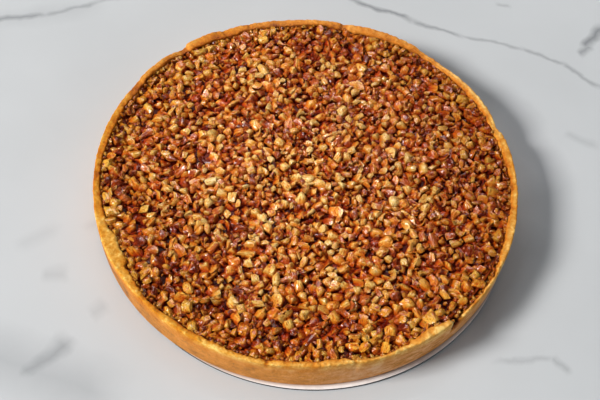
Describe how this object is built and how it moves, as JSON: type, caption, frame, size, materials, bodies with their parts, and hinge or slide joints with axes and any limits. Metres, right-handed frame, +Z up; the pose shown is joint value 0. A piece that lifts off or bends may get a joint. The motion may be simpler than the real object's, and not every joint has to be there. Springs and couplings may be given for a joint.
{
  "type": "pecan pie",
  "caption": "Round shallow pecan pie with a straight-sided golden pastry shell, topped with chopped glazed pecans, standing on the loose base disc of its baking tin.",
  "frame": {"origin": "centre of the pie's underside, on the surface it stands on, at the lowest face of the tin base", "axes": "+Z up through the middle of the pie; -Y towards the side the picture was taken from, +X to its right"},
  "size_m": [0.2802, 0.282, 0.0308],
  "materials": {
    "tin_base": "satin, pale bright sheet metal",
    "crust": "matt baked shortcrust, golden brown, paler along the cut rim",
    "pecan_filling": "glossy syrup glaze over chopped pecans"
  },
  "bodies": {
    "root": {"tin_base": "tin_base", "crust": "crust", "pecan_filling": "pecan_filling"}
  },
  "joints": []
}
